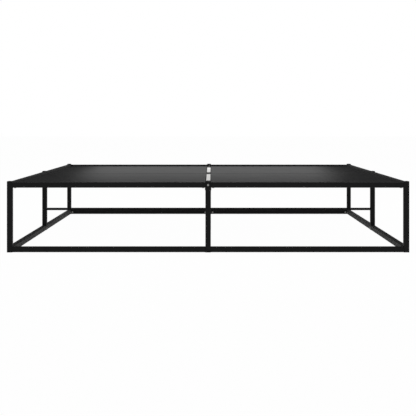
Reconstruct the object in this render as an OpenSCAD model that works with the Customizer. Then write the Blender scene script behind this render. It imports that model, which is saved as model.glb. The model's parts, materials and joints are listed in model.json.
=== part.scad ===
// Metal bed frame: a low base of square steel tube that holds a mattress on a flat deck.
// Nine legs, rails in half lengths that slip over spigots on the legs, a centre beam on a
// middle leg, crossbars, a thin tie bar in halves and four deck panels on welded ledges.
// Millimetres. The origin is on the floor under the middle of the bed, +Z is up and the
// foot end faces -Y. In calls, sx is -1 for left and 1 for right, sy is -1 for front and
// 1 for back.

/* [Mattress] */
// Width of the mattress
mattress_w = 1800; // [1400:50:2000]
// Length of the mattress
mattress_l = 2000; // [1900:50:2200]
// Gap between the mattress and the rails on each side
mattress_gap = 5; // [2:1:15]
// Depth that the mattress sits below the rail tops
recess_depth = 10; // [7:0.5:12]

/* [Tube frame] */
// Height of the rail tops above the floor
rail_top = 324; // [250:1:420]
// Outer side of the square tube of the legs, rails and beams
tube = 25; // [24:1:40]
// Wall of the square tube
tube_wall = 1.2; // [1:0.1:2]
// Outer corner radius of the square tube
tube_corner = 2; // [1.5:0.1:3]
// Height that the leg tubes stand above the rail tops
leg_rise = 2; // [1:0.5:10]

/* [Caps and glides] */
// Thickness of the domed cap on a leg
cap_t = 4; // [3:0.5:8]
// Radius of the dome on a cap
cap_dome_r = 80; // [70:5:200]
// Thickness of the flat cap on the middle leg
flat_cap_t = 1.5; // [1:0.5:3]
// Thickness of the floor glide under a leg
glide_t = 1; // [0.5:0.5:6]
// Depth of the plug of a cap or glide inside the leg
plug_depth = 10; // [6:1:11]
// Clearance round a plug on each side
plug_gap = 0.2; // [0.1:0.05:0.5]

/* [Rail joints] */
// Length of the spigot inside a rail end
spigot_l = 40; // [30:1:60]
// Wall of the spigot
spigot_wall = 2; // [1.5:0.1:3]
// Clearance round a spigot on each side
spigot_gap = 0.3; // [0.1:0.05:0.5]
// Distance from the leg to the bolt axis
bolt_inset = 11.5; // [10:0.5:20]
// Thread diameter of the frame bolts
bolt_d = 6; // [5:0.5:6]
// Length of a rail bolt under its head
bolt_l = 12; // [9:1:15]
// Diameter of the bolt head
head_d = 10; // [9:0.5:12]
// Height of the bolt head
head_h = 2.8; // [2.2:0.1:4]
// Width across flats of the socket in the bolt head
socket_af = 4; // [3:0.5:4]
// Outer diameter of the weld nuts
weld_nut_d = 11; // [10:0.5:13]
// Height of the weld nuts
weld_nut_h = 4; // [3:0.5:5]
// Radial clearance in a clearance hole
hole_gap = 0.3; // [0.1:0.05:0.5]
// Radial clearance left in a threaded hole
thread_gap = 0.05; // [0.02:0.01:0.1]

/* [Beam hangers] */
// Thickness of the hanger plates
hanger_t = 3; // [2:0.5:5]
// Length of the hanger under the beam
hanger_l = 50; // [40:1:80]
// Thickness of the hanger cheeks
cheek_t = 2; // [1.5:0.5:3]
// Height of the hanger cheeks above the underside of the beam
cheek_h = 8; // [5:0.5:9]
// Room between the hanger plate and the end of the beam
beam_end_gap = 12; // [10:1:16]
// Distance from the inner face of the leg to the screw under the beam
hanger_screw_y = 34; // [28:1:36]
// Width across flats of the nut behind a leg
nut_af = 10; // [9:0.5:11]
// Height of the nut behind a leg
nut_h = 5; // [4:0.5:6]

/* [Deck] */
// Thickness of the deck panels
panel_t = 12; // [9:0.5:12]
// Gap between a panel and the tubes round it
panel_gap = 1; // [0.5:0.1:3]
// Corner radius of the panels
panel_corner = 3; // [1:0.5:8]
// Width of the ledges that carry the panels
ledge_w = 20; // [16:1:30]
// Thickness of the ledges
ledge_t = 3; // [2:0.5:3]
// Gap at the ends of a ledge
ledge_gap = 1; // [0.5:0.1:3]
// Battens under each panel
battens = 2; // [1:1:4]
// Width of a batten
batten_w = 40; // [25:1:60]
// Thickness of a batten
batten_t = 18; // [12:1:25]
// Gap between a batten end and the ledge
batten_gap = 3; // [1:0.5:10]

/* [Deck screws] */
// Screws along each front and back edge of a panel
edge_screws = 3; // [2:1:5]
// Thread diameter of the screws in the deck and the tie bars
screw_d = 4; // [3:0.5:4.5]
// Head diameter of the countersunk deck screws
screw_head_d = 8; // [7:0.5:9]
// Length of a deck screw, head included
screw_l = 18; // [16:1:22]
// Distance from a panel edge to the screws
screw_edge = 10; // [8:0.5:12]
// Distance from a panel side to its first screw
screw_end = 60; // [30:5:120]

/* [Tie bar] */
// Outer side of the square tie bar
tie = 13; // [11:0.5:16]
// Wall of the tie bar
tie_wall = 1.5; // [1:0.1:2]
// Outer corner radius of the tie bar
tie_corner = 1.6; // [1.2:0.1:2.5]
// Height of the tie bar axis above the floor
tie_z = 116.5; // [60:1:200]
// Length of the pin inside a tie bar end
tie_pin_l = 25; // [20:1:40]
// Length of a tie bar screw under its head
tie_screw_l = 8; // [6:0.5:9]
// Head diameter of a tie bar screw
tie_head_d = 7; // [6:0.5:8]
// Head height of a tie bar screw
tie_head_h = 2.2; // [1.5:0.1:3]

/* [Buffer strips] */
// Width of a strip on the centre beam
strip_w = 20; // [10:1:24]
// Length of a strip
strip_l = 622; // [200:1:850]
// Thickness of a strip
strip_t = 3; // [1:0.5:6]
// Distance from the middle of the bed to a strip
strip_start = 116.5; // [20:0.5:130]
// Corner radius of a strip
strip_corner = 2; // [1:0.5:5]

/* [Hidden] */
$fn = 48;
// Overshoot of a cut past the face that it opens
cut = 1;
half = tube / 2;
inner_x = mattress_w / 2 + mattress_gap;
inner_y = mattress_l / 2 + mattress_gap;
side_x = inner_x + half;
end_y = inner_y + half;
span_x = inner_x - half;
span_y = inner_y - half;
bottom_rail_z = glide_t + half;
top_rail_z = rail_top - half;
deck_z = rail_top - recess_depth;
beam_z = deck_z - half;
panel_z = deck_z - panel_t;
ledge_z = panel_z - ledge_t;
leg_top = rail_top + leg_rise;
middle_leg_top = deck_z - flat_cap_t;
spigot = tube - 2 * (tube_wall + spigot_gap);
spigot_corner = tube_corner - tube_wall;
plug = tube - 2 * (tube_wall + plug_gap);
tie_pin = tie - 2 * (tie_wall + spigot_gap);
beam_l = span_y - hanger_t - beam_end_gap;
beam_nut_x = span_y - hanger_screw_y;
ledge_span = [span_x - 2 * ledge_gap, span_y - 2 * (ledge_w + ledge_gap)];
panel = [span_x - 2 * panel_gap, span_y - 2 * panel_gap];
panel_x = (half + inner_x) / 2;
panel_y = (half + inner_y) / 2;
screw_step = (panel.x - 2 * screw_end) / (edge_screws - 1);
screw_x = [for (i = [0 : edge_screws - 1]) i * screw_step - panel.x / 2 + screw_end];
sides = [-1, 1];
outer_legs = [for (x = [-1, 0, 1], y = [-1, 0, 1]) if (x != 0 || y != 0) [x * side_x, y * end_y]];

// A bar is [place of its start, heading, length, roll]. It runs from its start along the
// heading, and its bolts enter the face that the roll turns from the underside.
function heading_x(sx) = sx > 0 ? 0 : 180;
function end_rail(sx, sy, z, turn) = [[sx * half, sy * end_y, z], heading_x(sx), span_x, -sx * sy * turn];
function side_rail(sx, sy, z, turn) = [[sx * side_x, sy * half, z], sy * 90, span_y, sx * sy * turn];
function crossbar_at(sx) = [[sx * half, 0, beam_z], heading_x(sx), span_x, 0];
function tie_bar_at(sx) = [[sx * half, 0, tie_z], heading_x(sx), span_x, sx * 90];
function beam_at(sy) = [[0, sy * half, beam_z], sy * 90, beam_l, 0];
function levels() = [[top_rail_z, 0], [bottom_rail_z, 90]];
function end_rails(sy) = [for (level = levels(), sx = sides) end_rail(sx, sy, level[0], level[1])];
function side_rails(sx) = [for (level = levels(), sy = sides) side_rail(sx, sy, level[0], level[1])];
perimeter_rails = concat(end_rails(-1), end_rails(1), side_rails(-1), side_rails(1));

// ---- shared shapes ----

// Rectangle with round corners, centred
module rounded_rect(size, r) {
    square([size.x - 2 * r, size.y], center = true);
    square([size.x, size.y - 2 * r], center = true);
    for (x = sides, y = sides)
        translate([x * (size.x / 2 - r), y * (size.y / 2 - r)])
            circle(r);
}

// Square tube that runs up from the origin
module square_tube(side, wall, corner, length) {
    bore = side - 2 * wall;
    linear_extrude(length)
        difference() {
            rounded_rect([side, side], corner);
            rounded_rect([bore, bore], max(corner - wall, 0.1));
        }
}

// The same tube, running along +X
module tube_along_x(side, wall, corner, length) {
    rotate([0, 90, 0])
        square_tube(side, wall, corner, length);
}

// Cut through the underside wall of a tube, at x along it
module underside_hole(x, side, wall, d) {
    translate([x, 0, -side / 2 - cut])
        cylinder(d = d, h = wall + 2 * cut);
}

// Puts its children at the start of a bar, in the bar's own directions
module at_start(bar) {
    translate(bar[0])
        rotate([0, 0, bar[1]])
            rotate([bar[3], 0, 0])
                children();
}

// Puts its children at both ends of a bar, each looking into it
module at_both_ends(bar) {
    at_start(bar)
        children();
    at_start(bar)
        translate([bar[2], 0, 0])
            rotate([0, 0, 180])
                children();
}

// Button-head bolt: the seat of its head is at z = 0, its thread runs up
module bolt(d, length, width, height) {
    rim = height * 0.4;
    difference() {
        union() {
            translate([0, 0, -rim])
                cylinder(d = width, h = rim);
            translate([0, 0, -height])
                cylinder(d1 = width * 0.66, d2 = width, h = height - rim);
            cylinder(d = d - 2 * thread_gap, h = length);
        }
        translate([0, 0, -height - cut])
            cylinder(d = socket_af * width / head_d / cos(30), h = height * 0.6 + cut, $fn = 6);
    }
}

// ---- tubes ----

// Leg tube that stands on its glide
module leg(x, y, top) {
    color("#1d1d1f")
        translate([x, y, glide_t])
            square_tube(tube, tube_wall, tube_corner, top - glide_t);
}

module corner_leg(sx, sy) {
    leg(sx * side_x, sy * end_y, leg_top);
}

module middle_side_leg(sx) {
    leg(sx * side_x, 0, leg_top);
}

// End leg with the cross hole for its hanger bolt
module middle_end_leg(sy) {
    difference() {
        leg(0, sy * end_y, leg_top);
        translate([0, sy * end_y, top_rail_z])
            rotate([90, 0, 0])
                cylinder(d = bolt_d + 2 * hole_gap, h = tube + 2 * cut, center = true);
    }
}

module middle_centre_leg() {
    leg(0, 0, middle_leg_top);
}

// Rail or crossbar with a bolt hole near each end
module rail(bar) {
    color("#1d1d1f")
        at_start(bar)
            difference() {
                tube_along_x(tube, tube_wall, tube_corner, bar[2]);
                for (x = [bolt_inset, bar[2] - bolt_inset])
                    underside_hole(x, tube, tube_wall, bolt_d + 2 * hole_gap);
            }
}

// Half of the centre beam: bolt hole at the middle leg, weld nut over the hanger
module centre_beam(sy) {
    color("#1d1d1f")
        at_start(beam_at(sy))
            difference() {
                union() {
                    tube_along_x(tube, tube_wall, tube_corner, beam_l);
                    translate([beam_nut_x, 0, tube_wall - half])
                        cylinder(d = weld_nut_d, h = weld_nut_h);
                }
                underside_hole(bolt_inset, tube, tube_wall, bolt_d + 2 * hole_gap);
                underside_hole(beam_nut_x, tube, tube_wall + weld_nut_h, bolt_d);
            }
}

module tie_bar(sx) {
    bar = tie_bar_at(sx);
    color("#1d1d1f")
        at_start(bar)
            difference() {
                tube_along_x(tie, tie_wall, tie_corner, bar[2]);
                for (x = [bolt_inset, bar[2] - bolt_inset])
                    underside_hole(x, tie, tie_wall, screw_d + 2 * hole_gap);
            }
}

// ---- joints ----

// Stub of tube welded to a leg, with a weld nut behind its bolt hole
module spigot() {
    color("#2b2b2d")
        difference() {
            union() {
                tube_along_x(spigot, spigot_wall, spigot_corner, spigot_l);
                translate([bolt_inset, 0, spigot_wall - spigot / 2])
                    cylinder(d = weld_nut_d, h = weld_nut_h);
            }
            underside_hole(bolt_inset, spigot, spigot_wall + weld_nut_h, bolt_d);
        }
}

module spigots(bars) {
    for (bar = bars)
        at_both_ends(bar)
            spigot();
}

// Spigots of the crossbars, and of the beam ends at the middle leg
module spigots_middle() {
    for (sx = sides)
        at_both_ends(crossbar_at(sx))
            spigot();
    for (sy = sides)
        at_start(beam_at(sy))
            spigot();
}

// Solid square pins that the tie bars slip over
module tie_bar_pins() {
    color("#2b2b2d")
        for (sx = sides)
            at_both_ends(tie_bar_at(sx))
                difference() {
                    translate([0, -tie_pin / 2, -tie_pin / 2])
                        cube([tie_pin_l, tie_pin, tie_pin]);
                    translate([bolt_inset, 0, -tie_pin / 2 - cut])
                        cylinder(d = screw_d, h = tie_pin + 2 * cut);
                }
}

// Saddle on the inner face of an end leg: a plate behind the leg and a floor with low
// cheeks under the beam end
module beam_hanger() {
    floor_w = tube + 2 * (spigot_gap + cheek_t);
    floor_z = beam_z - half - hanger_t;
    difference() {
        union() {
            translate([-half, 0, floor_z])
                cube([tube, hanger_t, leg_top - floor_z - 2 * leg_rise]);
            translate([-floor_w / 2, 0, floor_z])
                cube([floor_w, hanger_l, hanger_t]);
            for (sx = sides)
                translate([sx * (floor_w - cheek_t) / 2 - cheek_t / 2, 0, floor_z])
                    cube([cheek_t, hanger_l, hanger_t + cheek_h]);
        }
        translate([0, -cut, top_rail_z])
            rotate([-90, 0, 0])
                cylinder(d = bolt_d + 2 * hole_gap, h = hanger_t + 2 * cut);
        translate([0, hanger_screw_y, floor_z - cut])
            cylinder(d = bolt_d + 2 * hole_gap, h = hanger_t + 2 * cut);
    }
}

// Puts its children on the inner face of both end legs, with +Y towards the middle
module at_end_legs(inwards) {
    for (turn = [0, 180])
        rotate([0, 0, turn])
            translate([0, -inner_y - inwards, 0])
                children();
}

module beam_hangers() {
    color("#1d1d1f")
        at_end_legs(0)
            beam_hanger();
}

// ---- deck ----

// Flat bar along X, welded to the inner face of a tube that ends at y = 0
module ledge_along_x() {
    difference() {
        translate([-ledge_span.x / 2, 0, 0])
            cube([ledge_span.x, ledge_w, ledge_t]);
        for (x = screw_x)
            translate([x, panel_gap + screw_edge, -cut])
                cylinder(d = screw_d, h = ledge_t + 2 * cut);
    }
}

module ledges_end(sy) {
    color("#1d1d1f")
        for (sx = sides)
            rotate([0, 0, sy < 0 ? 0 : 180])
                translate([sx * panel_x, -inner_y, ledge_z])
                    ledge_along_x();
}

module ledges_crossbar() {
    color("#1d1d1f")
        for (turn = [0, 180], sx = sides)
            rotate([0, 0, turn])
                translate([sx * panel_x, half, ledge_z])
                    ledge_along_x();
}

// Flat bar along Y from x = 0, midway between the ledges along X
module ledge_along_y() {
    translate([0, -ledge_span.y / 2, ledge_z])
        cube([ledge_w, ledge_span.y, ledge_t]);
}

module ledges_side(sx) {
    color("#1d1d1f")
        for (sy = sides)
            rotate([0, 0, sx < 0 ? 0 : 180])
                translate([-inner_x, sy * panel_y, 0])
                    ledge_along_y();
}

module ledges_beam() {
    color("#1d1d1f")
        for (turn = [0, 180], sy = sides)
            rotate([0, 0, turn])
                translate([half, sy * panel_y, 0])
                    ledge_along_y();
}

// Places of the screws in one panel, from its middle
module at_panel_screws() {
    for (x = screw_x, sy = sides)
        translate([x, sy * (panel.y / 2 - screw_edge), deck_z])
            children();
}

// Countersunk shape, seat up at z = 0
module countersunk(shank_d, head, length) {
    translate([0, 0, -(head - shank_d) / 2])
        cylinder(d1 = shank_d, d2 = head, h = (head - shank_d) / 2);
    translate([0, 0, -length])
        cylinder(d = shank_d, h = length);
}

module deck_panel(sx, sy) {
    color("#242527")
        translate([sx * panel_x, sy * panel_y, 0])
            difference() {
                translate([0, 0, panel_z])
                    linear_extrude(panel_t)
                        rounded_rect(panel, panel_corner);
                at_panel_screws()
                    countersunk(screw_d + 2 * hole_gap, screw_head_d + 2 * hole_gap, panel_t + cut);
            }
}

module deck_screws() {
    color("#1a1a1b")
        for (sx = sides, sy = sides)
            translate([sx * panel_x, sy * panel_y, 0])
                at_panel_screws()
                    countersunk(screw_d - 2 * thread_gap, screw_head_d, screw_l);
}

// Battens glued under the panels, between the ledges
module deck_battens() {
    batten_l = span_x - 2 * (ledge_w + batten_gap);
    color("#8c6f4e")
        for (sx = sides, sy = sides, i = [1 : battens])
            translate([sx * panel_x, sy * (half + i * span_y / (battens + 1)), panel_z - batten_t / 2])
                cube([batten_l, batten_w, batten_t], center = true);
}

// Pale strip on top of the centre beam
module buffer_strip(sy) {
    color("#e6e5e1")
        translate([0, sy * (strip_start + strip_l / 2), deck_z])
            linear_extrude(strip_t)
                rounded_rect([strip_w, strip_l], strip_corner);
}

// ---- caps, glides and fasteners ----

// Push-in plug, standing up from the origin
module tube_plug() {
    linear_extrude(plug_depth)
        rounded_rect([plug, plug], max(tube_corner - tube_wall, 0.1));
}

// Square flange of a cap or glide, from the origin up
module flange(thickness) {
    linear_extrude(thickness)
        rounded_rect([tube, tube], tube_corner);
}

module leg_caps() {
    color("#151516")
        for (spot = outer_legs)
            translate([spot.x, spot.y, leg_top]) {
                intersection() {
                    flange(cap_t);
                    translate([0, 0, cap_t - cap_dome_r])
                        sphere(cap_dome_r);
                }
                translate([0, 0, -plug_depth])
                    tube_plug();
            }
}

module middle_leg_cap() {
    color("#151516")
        translate([0, 0, middle_leg_top]) {
            flange(flat_cap_t);
            translate([0, 0, -plug_depth])
                tube_plug();
        }
}

module floor_glides() {
    color("#151516")
        for (spot = concat(outer_legs, [[0, 0]]))
            translate([spot.x, spot.y, 0]) {
                flange(glide_t);
                translate([0, 0, glide_t])
                    tube_plug();
            }
}

// Rail bolt, seated on the underside of a bar near its end
module rail_bolt() {
    translate([bolt_inset, 0, -half])
        bolt(bolt_d, bolt_l, head_d, head_h);
}

module rail_bolts() {
    color("silver")
        for (bar = perimeter_rails)
            at_both_ends(bar)
                rail_bolt();
}

// Bolts of the crossbars, of the beam at the middle leg and of the beam on its hangers
module beam_bolts() {
    color("silver") {
        for (sx = sides)
            at_both_ends(crossbar_at(sx))
                rail_bolt();
        for (sy = sides)
            at_start(beam_at(sy))
                rail_bolt();
        at_end_legs(0)
            translate([0, hanger_screw_y, beam_z - half - hanger_t])
                bolt(bolt_d, bolt_l, head_d, head_h);
    }
}

// Long bolts through the end legs into the nuts behind the hangers
module hanger_bolts() {
    color("silver")
        at_end_legs(tube)
            translate([0, 0, top_rail_z])
                rotate([-90, 0, 0])
                    bolt(bolt_d, tube + hanger_t + nut_h + 1, head_d, head_h);
}

module hanger_nuts() {
    color("silver")
        at_end_legs(-hanger_t)
            translate([0, 0, top_rail_z])
                rotate([-90, 0, 0])
                    difference() {
                        cylinder(d = nut_af / cos(30), h = nut_h, $fn = 6);
                        translate([0, 0, -cut])
                            cylinder(d = bolt_d, h = nut_h + 2 * cut);
                    }
}

module tie_bar_screws() {
    color("silver")
        for (sx = sides)
            at_both_ends(tie_bar_at(sx))
                translate([bolt_inset, 0, -tie / 2])
                    bolt(screw_d, tie_screw_l, tie_head_d, tie_head_h);
}

// ---- the bed ----

corner_leg(-1, -1);  // leg_front_left
middle_end_leg(-1);  // leg_front_centre
corner_leg(1, -1);  // leg_front_right
middle_side_leg(-1);  // leg_middle_left
middle_centre_leg();  // leg_middle_centre
middle_side_leg(1);  // leg_middle_right
corner_leg(-1, 1);  // leg_back_left
middle_end_leg(1);  // leg_back_centre
corner_leg(1, 1);  // leg_back_right
rail(end_rail(-1, -1, top_rail_z, 0));  // top_rail_front_left
rail(end_rail(1, -1, top_rail_z, 0));  // top_rail_front_right
rail(end_rail(-1, 1, top_rail_z, 0));  // top_rail_back_left
rail(end_rail(1, 1, top_rail_z, 0));  // top_rail_back_right
rail(end_rail(-1, -1, bottom_rail_z, 90));  // bottom_rail_front_left
rail(end_rail(1, -1, bottom_rail_z, 90));  // bottom_rail_front_right
rail(end_rail(-1, 1, bottom_rail_z, 90));  // bottom_rail_back_left
rail(end_rail(1, 1, bottom_rail_z, 90));  // bottom_rail_back_right
rail(side_rail(-1, -1, top_rail_z, 0));  // top_rail_left_front
rail(side_rail(-1, 1, top_rail_z, 0));  // top_rail_left_back
rail(side_rail(1, -1, top_rail_z, 0));  // top_rail_right_front
rail(side_rail(1, 1, top_rail_z, 0));  // top_rail_right_back
rail(side_rail(-1, -1, bottom_rail_z, 90));  // bottom_rail_left_front
rail(side_rail(-1, 1, bottom_rail_z, 90));  // bottom_rail_left_back
rail(side_rail(1, -1, bottom_rail_z, 90));  // bottom_rail_right_front
rail(side_rail(1, 1, bottom_rail_z, 90));  // bottom_rail_right_back
centre_beam(-1);  // centre_beam_front
centre_beam(1);  // centre_beam_back
rail(crossbar_at(-1));  // crossbar_left
rail(crossbar_at(1));  // crossbar_right
tie_bar(-1);  // tie_bar_left
tie_bar(1);  // tie_bar_right
spigots(end_rails(-1));  // spigots_front
spigots(end_rails(1));  // spigots_back
spigots(side_rails(-1));  // spigots_left
spigots(side_rails(1));  // spigots_right
spigots_middle();
tie_bar_pins();
beam_hangers();
ledges_end(-1);  // ledges_front
ledges_end(1);  // ledges_back
ledges_side(-1);  // ledges_left
ledges_side(1);  // ledges_right
ledges_beam();
ledges_crossbar();
deck_panel(-1, -1);  // deck_panel_front_left
deck_panel(1, -1);  // deck_panel_front_right
deck_panel(-1, 1);  // deck_panel_back_left
deck_panel(1, 1);  // deck_panel_back_right
deck_battens();
buffer_strip(-1);  // buffer_strip_front
buffer_strip(1);  // buffer_strip_back
leg_caps();
middle_leg_cap();
floor_glides();
rail_bolts();
beam_bolts();
hanger_bolts();
hanger_nuts();
deck_screws();
tie_bar_screws();
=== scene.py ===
"""Looks of the metal bed frame: materials, formed small pieces, studio and camera."""

import json
import math

import bmesh  # noqa: E402
import bpy  # noqa: E402
from mathutils import Matrix, Vector  # noqa: E402


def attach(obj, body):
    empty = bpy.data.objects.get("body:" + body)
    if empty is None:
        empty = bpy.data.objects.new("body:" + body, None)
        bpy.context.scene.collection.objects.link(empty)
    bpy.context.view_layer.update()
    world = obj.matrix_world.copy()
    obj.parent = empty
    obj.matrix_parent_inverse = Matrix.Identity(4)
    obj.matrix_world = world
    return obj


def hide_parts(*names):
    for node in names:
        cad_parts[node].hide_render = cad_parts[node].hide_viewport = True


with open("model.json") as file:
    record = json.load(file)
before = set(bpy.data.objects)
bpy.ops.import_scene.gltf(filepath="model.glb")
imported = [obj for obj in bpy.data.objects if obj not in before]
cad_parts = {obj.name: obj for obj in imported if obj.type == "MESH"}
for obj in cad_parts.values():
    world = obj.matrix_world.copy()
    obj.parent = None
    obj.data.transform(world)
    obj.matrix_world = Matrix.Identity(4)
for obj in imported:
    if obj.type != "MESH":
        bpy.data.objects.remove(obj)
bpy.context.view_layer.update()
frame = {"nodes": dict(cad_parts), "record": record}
nodes = frame["nodes"]

MM = 0.001
scene = bpy.context.scene
scene.view_settings.view_transform = "Standard"


# ---- camera ----

SENSOR_MM = 36.0
LENS_MM = 90.99
LENS_SHIFT = (-0.0077, -0.2053)
CAMERA_PLACE = (0.0144, -5.887, 0.6)
FAR_CLIP = 100.0


def make_camera():
    """Looks level along the bed from its front end, framed by a lens shift."""
    data = bpy.data.cameras.new("camera")
    data.sensor_width = SENSOR_MM
    data.lens = LENS_MM
    data.shift_x, data.shift_y = LENS_SHIFT
    data.clip_end = FAR_CLIP
    camera = bpy.data.objects.new("camera", data)
    camera.location = CAMERA_PLACE
    camera.rotation_euler = (math.radians(90), 0, 0)
    scene.collection.objects.link(camera)
    scene.camera = camera


# ---- node helpers ----

def new_material(name):
    """An empty node material with its output node."""
    material = bpy.data.materials.new(name)
    material.use_nodes = True
    tree = material.node_tree
    tree.nodes.clear()
    output = tree.nodes.new("ShaderNodeOutputMaterial")
    return material, tree, output


def principled(tree, output, metallic=0.0, specular=0.5):
    """The shader, already linked to the output."""
    shader = tree.nodes.new("ShaderNodeBsdfPrincipled")
    shader.inputs["Metallic"].default_value = metallic
    shader.inputs["Specular IOR Level"].default_value = specular
    tree.links.new(shader.outputs["BSDF"], output.inputs["Surface"])
    return shader


def dress(tree, shader, colour, roughness, normal):
    """Links what every finish varies."""
    tree.links.new(colour, shader.inputs["Base Color"])
    tree.links.new(roughness, shader.inputs["Roughness"])
    tree.links.new(normal, shader.inputs["Normal"])


def object_point(tree, stretch=(1, 1, 1)):
    """The object's own coordinates in metres, stretched."""
    coordinates = tree.nodes.new("ShaderNodeTexCoord")
    mapping = tree.nodes.new("ShaderNodeMapping")
    mapping.inputs["Scale"].default_value = stretch
    tree.links.new(coordinates.outputs["Object"], mapping.inputs["Vector"])
    return mapping.outputs["Vector"]


def noise(tree, scale, detail, stretch=(1, 1, 1), distortion=0.0):
    """Noise in object coordinates, with about `scale` features to the metre."""
    node = tree.nodes.new("ShaderNodeTexNoise")
    node.inputs["Scale"].default_value = scale
    node.inputs["Detail"].default_value = detail
    node.inputs["Distortion"].default_value = distortion
    tree.links.new(object_point(tree, stretch), node.inputs["Vector"])
    return node.outputs["Fac"]


def cells(tree, scale):
    """Distance to the nearest of scattered points, with about `scale` of them to the metre."""
    node = tree.nodes.new("ShaderNodeTexVoronoi")
    node.inputs["Scale"].default_value = scale
    tree.links.new(object_point(tree), node.inputs["Vector"])
    return node.outputs["Distance"]


def growth_rings(tree, scale, distortion, detail, detail_scale, stretch):
    """Rings round the X axis."""
    node = tree.nodes.new("ShaderNodeTexWave")
    node.wave_type = "RINGS"
    node.rings_direction = "X"
    node.inputs["Scale"].default_value = scale
    node.inputs["Distortion"].default_value = distortion
    node.inputs["Detail"].default_value = detail
    node.inputs["Detail Scale"].default_value = detail_scale
    tree.links.new(object_point(tree, stretch), node.inputs["Vector"])
    return node.outputs["Fac"]


def blended(tree, first, second, share):
    """`share` of the second value, and the first for the rest."""
    node = tree.nodes.new("ShaderNodeMix")
    node.data_type = "FLOAT"
    node.inputs["Factor"].default_value = share
    tree.links.new(first, node.inputs["A"])
    tree.links.new(second, node.inputs["B"])
    return node.outputs["Result"]


def spread(tree, factor, low, high, start=0.3, end=0.7):
    """Maps start..end, by default where most noise lies, to low..high."""
    node = tree.nodes.new("ShaderNodeMapRange")
    node.inputs["From Min"].default_value = start
    node.inputs["From Max"].default_value = end
    node.inputs["To Min"].default_value = low
    node.inputs["To Max"].default_value = high
    tree.links.new(factor, node.inputs["Value"])
    return node.outputs["Result"]


def tint(tree, factor, stops):
    """Colour ramp from (place, colour) stops."""
    node = tree.nodes.new("ShaderNodeValToRGB")
    marks = node.color_ramp.elements
    while len(marks) < len(stops):
        marks.new(0.5)
    for mark, (place, colour) in zip(marks, stops):
        mark.position = place
        mark.color = (*colour, 1)
    tree.links.new(factor, node.inputs["Fac"])
    return node.outputs["Color"]


def arithmetic(tree, operation, first, second=0.0):
    """first and second are sockets or numbers."""
    node = tree.nodes.new("ShaderNodeMath")
    node.operation = operation
    for slot, value in zip(node.inputs, (first, second)):
        if isinstance(value, (int, float)):
            slot.default_value = value
        else:
            tree.links.new(value, slot)
    return node.outputs["Value"]


def relief(tree, height, distance, strength, under=None):
    """Bump of that height in metres, on top of another one."""
    node = tree.nodes.new("ShaderNodeBump")
    node.inputs["Strength"].default_value = strength
    node.inputs["Distance"].default_value = distance
    tree.links.new(height, node.inputs["Height"])
    if under is not None:
        tree.links.new(under, node.inputs["Normal"])
    return node.outputs["Normal"]


# ---- materials ----

def mottled(name, mottle, dark, light, patches, roughness, texture, depth, strength, **base):
    """Finish with a mottled colour, patchy roughness and a fine bump.

    mottle, patches and texture are noises: features to the metre, and detail.
    """
    material, tree, output = new_material(name)
    dress(
        tree, principled(tree, output, **base),
        colour=tint(tree, noise(tree, *mottle), [(0.3, dark), (0.7, light)]),
        roughness=spread(tree, noise(tree, *patches), *roughness),
        normal=relief(tree, noise(tree, *texture), depth, strength),
    )
    return material


def powder_coat():
    """Fine-textured black powder coat on steel tube, a little paler at a grazing view."""
    material, tree, output = new_material("powder_coat")
    shader = principled(tree, output, specular=0.21)
    shader.inputs["Sheen Weight"].default_value = 0.045
    shader.inputs["Sheen Roughness"].default_value = 0.4
    shades = [(0.3, (0.0050, 0.0050, 0.0053)), (0.7, (0.0076, 0.0076, 0.0080))]
    peel = relief(tree, noise(tree, scale=330.0, detail=2.0), distance=0.15 * MM, strength=0.7)
    grain = cells(tree, scale=1100.0)
    dress(
        tree, shader,
        colour=tint(tree, noise(tree, scale=70.0, detail=5.0), shades),
        roughness=spread(tree, noise(tree, scale=30.0, detail=3.0), low=0.56, high=0.66),
        normal=relief(tree, grain, distance=0.11 * MM, strength=0.7, under=peel),
    )
    return material


def deck_board():
    """Black melamine-faced board with a fine pearl texture."""
    return mottled(
        "deck_board",
        mottle=(9.0, 6.0), dark=(0.0105, 0.0107, 0.0113), light=(0.0140, 0.0142, 0.0148),
        patches=(5.0, 5.0), roughness=(0.415, 0.445),
        texture=(520.0, 2.0), depth=0.1 * MM, strength=0.6,
    )


def batten_wood():
    """Planed pine with its grain along X."""
    material, tree, output = new_material("batten_wood")
    rings = growth_rings(
        tree, scale=14.0, distortion=5.0, detail=3.0, detail_scale=1.4, stretch=(0.35, 2.2, 5.0)
    )
    fibres = noise(tree, scale=160.0, detail=6.0, stretch=(0.06, 1.0, 1.0))
    grain = blended(tree, rings, fibres, share=0.35)
    shades = [
        (0.15, (0.60, 0.42, 0.235)),
        (0.55, (0.53, 0.345, 0.175)),
        (0.85, (0.38, 0.215, 0.095)),
    ]
    dress(
        tree, principled(tree, output, specular=0.35),
        colour=tint(tree, grain, shades),
        roughness=spread(tree, fibres, low=0.55, high=0.72),
        normal=relief(tree, grain, distance=0.15 * MM, strength=0.5),
    )
    return material


def buffer_strip():
    """Pale dense felt-like strip."""
    material, tree, output = new_material("buffer_strip")
    fluff = noise(tree, scale=700.0, detail=6.0, stretch=(1.0, 0.35, 1.0), distortion=0.8)
    shades = [(0.25, (0.80, 0.795, 0.78)), (0.75, (0.875, 0.87, 0.86))]
    dress(
        tree, principled(tree, output, specular=0.25),
        colour=tint(tree, fluff, shades),
        roughness=spread(tree, fluff, low=0.72, high=0.88),
        normal=relief(tree, fluff, distance=0.2 * MM, strength=0.5),
    )
    return material


def black_plastic():
    """Moulded caps and glides with an eroded surface."""
    return mottled(
        "black_plastic", specular=0.3,
        mottle=(120.0, 4.0), dark=(0.0060, 0.0060, 0.0063), light=(0.0090, 0.0090, 0.0094),
        patches=(300.0, 4.0), roughness=(0.50, 0.62),
        texture=(1800.0, 3.0), depth=0.04 * MM, strength=0.5,
    )


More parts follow.
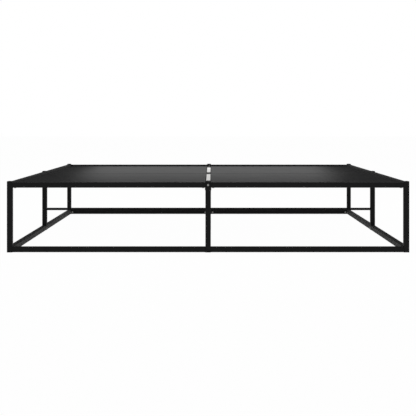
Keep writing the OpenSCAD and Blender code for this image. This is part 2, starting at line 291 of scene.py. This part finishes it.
def zinc_steel():
    """Bright zinc plating with faint cloudy patches."""
    return mottled(
        "zinc_steel", metallic=1.0,
        mottle=(260.0, 4.0), dark=(0.31, 0.31, 0.30), light=(0.42, 0.42, 0.41),
        patches=(500.0, 4.0), roughness=(0.3, 0.44),
        texture=(1500.0, 3.0), depth=0.01 * MM, strength=0.3,
    )


def black_screw():
    """Black-oxided steel."""
    return mottled(
        "black_screw", metallic=0.6,
        mottle=(400.0, 4.0), dark=(0.018, 0.018, 0.019), light=(0.034, 0.033, 0.033),
        patches=(800.0, 3.0), roughness=(0.36, 0.52),
        texture=(2200.0, 2.0), depth=0.01 * MM, strength=0.3,
    )


# ---- formed pieces ----

RING_POINTS = 36
CORNER_STEPS = 6
SMOOTH_LIMIT = math.radians(35)
JOIN_DISTANCE = 0.001 * MM


def group_box(points):
    """Lowest and highest corners of a group of points."""
    low = Vector([min(p[i] for p in points) for i in range(3)])
    high = Vector([max(p[i] for p in points) for i in range(3)])
    return low, high


def islands(node):
    """Groups of joined vertices of a CAD node, as lists of points."""
    work = bmesh.new()
    work.from_mesh(node.data)
    bmesh.ops.remove_doubles(work, verts=work.verts, dist=JOIN_DISTANCE)
    left = set(work.verts)
    groups = []
    while left:
        reach = [left.pop()]
        points = []
        while reach:
            vertex = reach.pop()
            points.append(node.matrix_world @ vertex.co)
            for edge in vertex.link_edges:
                other = edge.other_vert(vertex)
                if other in left:
                    left.remove(other)
                    reach.append(other)
        groups.append(points)
    work.free()
    return sorted(groups, key=lambda group: tuple(round(v, 5) for v in group_box(group)[0]))


def add_piece(name, work, finish, replaced):
    """Turns a bmesh into a smooth-shaded piece that stands for CAD nodes."""
    bmesh.ops.recalc_face_normals(work, faces=work.faces)
    for face in work.faces:
        face.smooth = True
    for edge in work.edges:
        if len(edge.link_faces) == 2 and edge.calc_face_angle() > SMOOTH_LIMIT:
            edge.smooth = False
    mesh = bpy.data.meshes.new(name)
    work.to_mesh(mesh)
    work.free()
    mesh.materials.append(finishes[finish])
    piece = bpy.data.objects.new(name, mesh)
    scene.collection.objects.link(piece)
    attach(piece, "root")
    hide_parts(*replaced)


def add_rings(work, rings, place):
    """Skins closed rings of equal count, each a list of points, and closes both ends."""
    made = [[work.verts.new(place @ Vector(p)) for p in ring] for ring in rings]
    count = len(rings[0])
    for lower, upper in zip(made, made[1:]):
        for i in range(count):
            j = (i + 1) % count
            work.faces.new((lower[i], lower[j], upper[j], upper[i]))
    for ring in (made[0][::-1], made[-1]):
        work.faces.new(ring)


def ring_of(radii, z):
    """Ring with those radii at equal steps of angle."""
    step = 2 * math.pi / len(radii)
    return [(r * math.cos(step * i), r * math.sin(step * i), z) for i, r in enumerate(radii)]


def circle(radius, z):
    return ring_of([radius] * RING_POINTS, z)


def hexagon(across, z, limit=math.inf):
    """Hexagon of that size across its flats, cut back to a circle of radius `limit`."""
    radii = []
    for i in range(RING_POINTS):
        angle = 2 * math.pi * i / RING_POINTS
        from_flat = (angle % (math.pi / 3)) - math.pi / 6
        radii.append(min(limit, across / 2 / math.cos(from_flat)))
    return ring_of(radii, z)


def cross(reach, core, z):
    """Outline of a four-armed recess."""
    near, nearer = core * 1.3, core * 1.05
    quarter = [reach, reach, near, nearer, core, core, nearer, near, reach]
    return ring_of(quarter * (RING_POINTS // len(quarter)), z)


def rounded_square(half_side, corner, z):
    """Ring round a square with rounded corners, with z a number or a function of x and y."""
    ring = []
    middle = half_side - corner
    for quarter in range(4):
        diagonal = math.pi / 2 * (quarter + 0.5)
        centre_x = math.copysign(middle, math.cos(diagonal))
        centre_y = math.copysign(middle, math.sin(diagonal))
        for i in range(CORNER_STEPS + 1):
            angle = math.pi / 2 * (quarter + i / CORNER_STEPS)
            x = centre_x + corner * math.cos(angle)
            y = centre_y + corner * math.sin(angle)
            ring.append((x, y, z(x, y) if callable(z) else z))
    return ring


# Button head: shares of its radius and height
HEAD_RIM = ((0.97, 0), (1, 0.08), (1, 0.3), (0.985, 0.38))
CROWN_RADII = (0.93, 0.85, 0.76, 0.67)
CROWN_MIDDLE, CROWN_REACH = 0.42, 0.6
CROWN_FOOT, CROWN_RISE = 0.36, 0.62
TABLE_RADIUS = 0.6
# Its hexagon socket: share of the head's diameter across the flats, shares of that for the
# radii of its lip and drill point, and shares of the head's height
SOCKET = 0.4
SOCKET_LIP_RADIUS, SOCKET_POINT_RADIUS = 0.64, 0.12
SOCKET_EDGE, SOCKET_FLOOR, SOCKET_POINT = 0.93, 0.42, 0.3
# The shank's chamfered tip: shares of its diameter
TIP_RADIUS, TIP_LENGTH = 0.38, 0.12
# Points further than this from a CAD bolt's axis, as a share of its head's diameter, are the head's
HEAD_ONLY = 0.47


def button_bolt(work, place, head_d, head_h, shank_d, length):
    """Button-head bolt with a hexagon socket: its seat at z = 0, its head up to head_h."""
    r = head_d / 2
    socket = head_d * SOCKET
    rings = [
        circle(shank_d * TIP_RADIUS, -length),
        circle(shank_d / 2, -length + shank_d * TIP_LENGTH),
        circle(shank_d / 2, 0),
    ]
    rings += [circle(r * share, head_h * up) for share, up in HEAD_RIM]
    for share in CROWN_RADII:
        lift = math.sqrt(1 - ((share - CROWN_MIDDLE) / CROWN_REACH) ** 2)
        rings.append(circle(r * share, head_h * (CROWN_FOOT + CROWN_RISE * lift)))
    rings += [
        circle(r * TABLE_RADIUS, head_h),
        circle(socket * SOCKET_LIP_RADIUS, head_h),
        hexagon(socket, head_h * SOCKET_EDGE),
        hexagon(socket, head_h * SOCKET_FLOOR),
        circle(socket * SOCKET_POINT_RADIUS, head_h * SOCKET_POINT),
    ]
    add_rings(work, rings, place)


def bolt_place(points, head_d):
    """Frame of a CAD bolt: origin on its seat, Z out of its head; and its length under the head."""
    low, high = group_box(points)
    size = high - low
    axis = max(range(3), key=lambda i: size[i])
    across = (axis + 1) % 3
    middle = (low + high) / 2
    rim = head_d * HEAD_ONLY
    head = [p[axis] for p in points if abs(p[across] - middle[across]) > rim]
    up = 1 if sum(head) / len(head) > middle[axis] else -1
    direction = Vector([0, 0, 0])
    direction[axis] = up
    seat = middle.copy()
    seat[axis] = min(head) if up > 0 else max(head)
    turn = direction.to_track_quat("Z", "Y").to_matrix().to_4x4()
    length = abs(seat[axis] - (low[axis] if up > 0 else high[axis]))
    return Matrix.Translation(seat) @ turn, length


def make_bolts(name, node_names, head_d, head_h, shank_d):
    work = bmesh.new()
    for node_name in node_names:
        for points in islands(nodes[node_name]):
            place, length = bolt_place(points, head_d)
            button_bolt(work, place, head_d, head_h, shank_d, length)
    add_piece(name, work, "zinc_steel", node_names)


POINT_RADIUS, POINT_LENGTH = 0.2 * MM, 2.2 * MM
THREAD_START, THREAD_END = 2.6 * MM, -7 * MM
THREAD_PITCH = 1.2 * MM
# Shares of the pitch where a turn of the thread has its crest and meets its core again
CREST_START, CREST_END, TURN_END = 0.4, 0.5, 0.9
# Share of the shank's diameter
THREAD_CORE_RADIUS = 0.38
HEAD_EDGE_DROP, HEAD_EDGE_INSET = 0.15 * MM, 0.12 * MM
# Cross recess: shares of the head's diameter (reach of the arms, radius of the core), and heights
RECESS_RIM_RADIUS, RECESS_POINT_RADIUS = 0.36, 0.03
RECESS_TOP, RECESS_BOTTOM = (0.28, 0.1), (0.22, 0.07)
RECESS_LIP, RECESS_FLOOR, RECESS_POINT = -0.03 * MM, -1.3 * MM, -1.7 * MM


def deck_screw(work, place, head_d, shank_d, length):
    """Countersunk screw with a cross recess and a thread: its flat head at z = 0."""
    head_r, r, core = head_d / 2, shank_d / 2, shank_d * THREAD_CORE_RADIUS
    rings = [circle(POINT_RADIUS, -length), circle(core, -length + POINT_LENGTH)]
    z = -length + THREAD_START
    while z < THREAD_END:
        rings += [
            circle(core, z),
            circle(r, z + THREAD_PITCH * CREST_START),
            circle(r, z + THREAD_PITCH * CREST_END),
            circle(core, z + THREAD_PITCH * TURN_END),
        ]
        z += THREAD_PITCH
    rings += [
        circle(r, z),
        circle(r, r - head_r),
        circle(head_r, -HEAD_EDGE_DROP),
        circle(head_r - HEAD_EDGE_INSET, 0),
        circle(head_d * RECESS_RIM_RADIUS, 0),
        cross(head_d * RECESS_TOP[0], head_d * RECESS_TOP[1], RECESS_LIP),
        cross(head_d * RECESS_BOTTOM[0], head_d * RECESS_BOTTOM[1], RECESS_FLOOR),
        circle(head_d * RECESS_POINT_RADIUS, RECESS_POINT),
    ]
    add_rings(work, rings, place)


def make_deck_screws(head_d, shank_d):
    work = bmesh.new()
    for points in islands(nodes["deck_screws"]):
        low, high = group_box(points)
        place = Matrix.Translation(((low.x + high.x) / 2, (low.y + high.y) / 2, high.z))
        deck_screw(work, place, head_d, shank_d, high.z - low.z)
    add_piece("countersunk_screws", work, "black_screw", ["deck_screws"])


BORE_CHAMFER = 0.5 * MM
CORNER_CHAMFER = (0.4 * MM, 0.9 * MM)
# Shares of a nut's size across its flats: radii of its flat end and of its cut corners
NUT_FACE_RADIUS, NUT_CORNER_RADIUS = 0.46, 0.53


def hex_nut(work, place, across, height, bore):
    """Chamfered nut round the Z axis, centred on its height."""
    face, limit = across * NUT_FACE_RADIUS, across * NUT_CORNER_RADIUS
    end = height / 2
    rings = [
        circle(bore / 2, -end + BORE_CHAMFER),
        circle(bore / 2 + BORE_CHAMFER, -end),
        circle(face, -end),
        hexagon(across, -end + CORNER_CHAMFER[0], limit),
        hexagon(across, -end + CORNER_CHAMFER[1]),
        hexagon(across, end - CORNER_CHAMFER[1]),
        hexagon(across, end - CORNER_CHAMFER[0], limit),
        circle(face, end),
        circle(bore / 2 + BORE_CHAMFER, end),
        circle(bore / 2, end - BORE_CHAMFER),
    ]
    add_rings(work, rings, place)


def make_nuts(across, bore):
    work = bmesh.new()
    for points in islands(nodes["hanger_nuts"]):
        low, high = group_box(points)
        turn = Matrix.Rotation(math.radians(90), 4, "X")
        place = Matrix.Translation((low + high) / 2) @ turn
        hex_nut(work, place, across, high.y - low.y, bore)
    add_piece("hanger_hex_nuts", work, "zinc_steel", ["hanger_nuts"])


CAP_HALF_SIDE, CAP_CORNER = 12.5 * MM, 2 * MM
CAP_THICK, CAP_DOME_R = 4 * MM, 80 * MM
CAP_UNDERCUT = 0.3 * MM
PLUG_HALF_SIDE, PLUG_CORNER = 10.9 * MM, 1 * MM
PLUG_END_HALF_SIDE, PLUG_TAPER = 9.6 * MM, 2 * MM
# The rim's rounding: millimetres below the dome, and in from the side
CAP_RIM = ((0.9, 0.0), (0.5, 0.1), (0.22, 0.32), (0.06, 0.65), (0.0, 1.1))
# Rings of the dome, in millimetres from the side
CAP_DOME_RINGS = (3.5, 6.5, 9.5, 11.6)


def dome(drop=0.0):
    """Height of the cap's dome above its flange's underside, as a function of x and y."""
    return lambda x, y: CAP_THICK - drop - (x * x + y * y) / (2 * CAP_DOME_R)


def leg_cap(work, place, plug_end):
    """Push-in cap: a square flange with a low dome and a soft rim, its underside at z = 0."""
    rings = [
        rounded_square(PLUG_END_HALF_SIDE, PLUG_CORNER, plug_end),
        rounded_square(PLUG_HALF_SIDE, PLUG_CORNER, plug_end + PLUG_TAPER),
        rounded_square(PLUG_HALF_SIDE, PLUG_CORNER, 0),
        rounded_square(CAP_HALF_SIDE - CAP_UNDERCUT, CAP_CORNER, 0),
        rounded_square(CAP_HALF_SIDE, CAP_CORNER, CAP_UNDERCUT),
    ]
    for drop, inset in CAP_RIM:
        rings.append(rounded_square(CAP_HALF_SIDE - inset * MM, CAP_CORNER, dome(drop * MM)))
    for inset in CAP_DOME_RINGS:
        side = CAP_HALF_SIDE - inset * MM
        rings.append(rounded_square(side, min(CAP_CORNER, side * 0.9), dome()))
    add_rings(work, rings, place)


def make_leg_caps():
    work = bmesh.new()
    for points in islands(nodes["leg_caps"]):
        low, high = group_box(points)
        base = high.z - CAP_THICK
        place = Matrix.Translation(((low.x + high.x) / 2, (low.y + high.y) / 2, base))
        leg_cap(work, place, low.z - base)
    add_piece("leg_cap_domes", work, "black_plastic", ["leg_caps"])


SOFT_WELD = 0.002 * MM
SOFT_SEGMENTS = 2
SOFT_ANGLE = math.radians(50)


def soften(node_names, width):
    """Breaks the sharp edges of CAD nodes, whose own vertices stay."""
    for name in node_names:
        piece = nodes[name]
        weld = piece.modifiers.new("weld", "WELD")
        weld.merge_threshold = SOFT_WELD
        edge = piece.modifiers.new("edge", "BEVEL")
        edge.width = width
        edge.segments = SOFT_SEGMENTS
        edge.limit_method = "ANGLE"
        edge.angle_limit = SOFT_ANGLE
        edge.harden_normals = True


make_camera()
finishes = {
    "powder_coat": powder_coat(),
    "deck_board": deck_board(),
    "batten_wood": batten_wood(),
    "buffer_strip": buffer_strip(),
    "black_plastic": black_plastic(),
    "zinc_steel": zinc_steel(),
    "black_screw": black_screw(),
}
for part in frame["record"]["subparts"]:
    part_mesh = nodes[part["node"]].data
    part_mesh.materials.clear()
    part_mesh.materials.append(finishes[part["material_slot"]])

make_leg_caps()
make_bolts(
    "frame_bolts", ["rail_bolts", "beam_bolts", "hanger_bolts"],
    head_d=10 * MM, head_h=2.8 * MM, shank_d=5.9 * MM,
)
make_bolts(
    "tie_bar_bolts", ["tie_bar_screws"],
    head_d=7 * MM, head_h=2.2 * MM, shank_d=3.9 * MM,
)
make_nuts(across=10 * MM, bore=6.1 * MM)
make_deck_screws(head_d=8 * MM, shank_d=3.9 * MM)
soften([name for name in nodes if name.startswith("deck_panel")], 0.8 * MM)
soften(["deck_battens"], 1.5 * MM)
soften(["buffer_strip_front", "buffer_strip_back"], 0.6 * MM)
soften(["beam_hangers"], 0.5 * MM)
soften(["middle_leg_cap"], 0.4 * MM)
soften(["floor_glides"], 0.25 * MM)


# ---- studio ----

SKY = 0.29
ROOM_IN_GLOSS = 0.55
SIDES_IN_GLOSS = 0.38
# Y of a direction, from where the room's front is bright to where its rear is dark
DARK_FROM, DARK_TO = -0.3, 0.4
# X of a direction, to either side, between which the room's sides turn bright
SIDES_FROM, SIDES_TO = 0.38, 0.66

FLOOR_REACH = 40.0
FLOOR_COLOUR = (0.8, 0.8, 0.8, 1)
FLOOR_GLOW = 0.985
FLOOR_IN_GLOSS = 0.65

# The cards stay below the deck, which would mirror them
CARD_LOW, CARD_HIGH = 0.01, 0.3
REAR_CARD_GLOW = 0.2
SIDE_CARD_GLOW = 0.75


def ray_kinds(tree):
    """Sockets that are 1 for camera and transmission rays, and for glossy rays."""
    path = tree.nodes.new("ShaderNodeLightPath")
    camera, through = path.outputs["Is Camera Ray"], path.outputs["Is Transmission Ray"]
    return arithmetic(tree, "MAXIMUM", camera, through), path.outputs["Is Glossy Ray"]


def shown_to_rays(tree, to_direct, to_glossy):
    """One value for camera and transmission rays, one for glossy rays, and 0 for the others."""
    direct, glossy = ray_kinds(tree)
    shown = arithmetic(tree, "MULTIPLY", direct, to_direct)
    mirrored = arithmetic(tree, "MULTIPLY", glossy, to_glossy)
    return arithmetic(tree, "ADD", shown, mirrored)


def make_world():
    """White to the camera; to glossy rays a grey room that is dark straight behind the bed."""
    world = bpy.data.worlds.new("studio")
    scene.world = world
    world.use_nodes = True
    tree = world.node_tree
    tree.nodes.clear()
    output = tree.nodes.new("ShaderNodeOutputWorld")
    sky = tree.nodes.new("ShaderNodeBackground")
    sky.inputs["Color"].default_value = (1, 1, 1, 1)
    place = tree.nodes.new("ShaderNodeTexCoord")
    split = tree.nodes.new("ShaderNodeSeparateXYZ")
    tree.links.new(place.outputs["Generated"], split.inputs["Vector"])
    front = spread(tree, split.outputs["Y"], ROOM_IN_GLOSS - SKY, -SKY, DARK_FROM, DARK_TO)
    sideways = arithmetic(tree, "ABSOLUTE", split.outputs["X"])
    sides = spread(tree, sideways, -SKY, SIDES_IN_GLOSS - SKY, SIDES_FROM, SIDES_TO)
    room = arithmetic(tree, "MAXIMUM", front, sides)
    strength = arithmetic(tree, "ADD", shown_to_rays(tree, 1.0 - SKY, room), SKY)
    tree.links.new(strength, sky.inputs["Strength"])
    tree.links.new(sky.outputs["Background"], output.inputs["Surface"])


def add_sheet(name, corners):
    """One flat face of the studio."""
    mesh = bpy.data.meshes.new(name)
    mesh.from_pydata(corners, [], [(0, 1, 2, 3)])
    sheet = bpy.data.objects.new(name, mesh)
    scene.collection.objects.link(sheet)
    return sheet


def make_floor():
    """White floor: its own glow hides its far edge, its diffuse part keeps the shadow."""
    r = FLOOR_REACH
    floor = add_sheet("floor", [(-r, -r, 0), (r, -r, 0), (r, r, 0), (-r, r, 0)])
    material, tree, output = new_material("floor_white")
    diffuse = tree.nodes.new("ShaderNodeBsdfDiffuse")
    diffuse.inputs["Color"].default_value = FLOOR_COLOUR
    glow = tree.nodes.new("ShaderNodeEmission")
    both = tree.nodes.new("ShaderNodeMixShader")
    tree.links.new(shown_to_rays(tree, FLOOR_GLOW, FLOOR_IN_GLOSS), both.inputs["Fac"])
    tree.links.new(diffuse.outputs["BSDF"], both.inputs[1])
    tree.links.new(glow.outputs["Emission"], both.inputs[2])
    tree.links.new(both.outputs["Shader"], output.inputs["Surface"])
    floor.data.materials.append(material)


def make_card(name, left, right, y, strength):
    """Upright pale card, which only glossy rays see."""
    card = add_sheet(name, [
        (left, y, CARD_LOW), (right, y, CARD_LOW), (right, y, CARD_HIGH), (left, y, CARD_HIGH),
    ])
    material, tree, output = new_material(name)
    glow = tree.nodes.new("ShaderNodeEmission")
    glow.inputs["Strength"].default_value = strength
    tree.links.new(glow.outputs["Emission"], output.inputs["Surface"])
    card.data.materials.append(material)
    card.visible_camera = card.visible_diffuse = card.visible_shadow = False


def area_light(name, place, target, size, watts):
    data = bpy.data.lights.new(name, "AREA")
    data.shape = "RECTANGLE"
    data.size, data.size_y = size
    data.energy = watts
    light = bpy.data.objects.new(name, data)
    light.location = place
    light.rotation_euler = (Vector(target) - Vector(place)).to_track_quat("-Z", "Y").to_euler()
    light.visible_camera = False
    scene.collection.objects.link(light)


make_world()
make_floor()
make_card("rear_card", left=-2.0, right=2.0, y=2.4, strength=REAR_CARD_GLOW)
make_card("side_card_left", left=-2.4, right=-0.97, y=1.2, strength=SIDE_CARD_GLOW)
make_card("side_card_right", left=0.97, right=2.4, y=1.2, strength=SIDE_CARD_GLOW)
area_light(
    "key", place=(0, 0.3, 4.5), target=(0, 0.3, 0), size=(5.0, 3.0), watts=110.0,
)
# the deck mirrors this one as its bright middle
area_light(
    "low_back", place=(-0.012, 1.4, 0.585), target=(-0.012, 1.23, -1.3),
    size=(1.66, 1.83), watts=4.25,
)
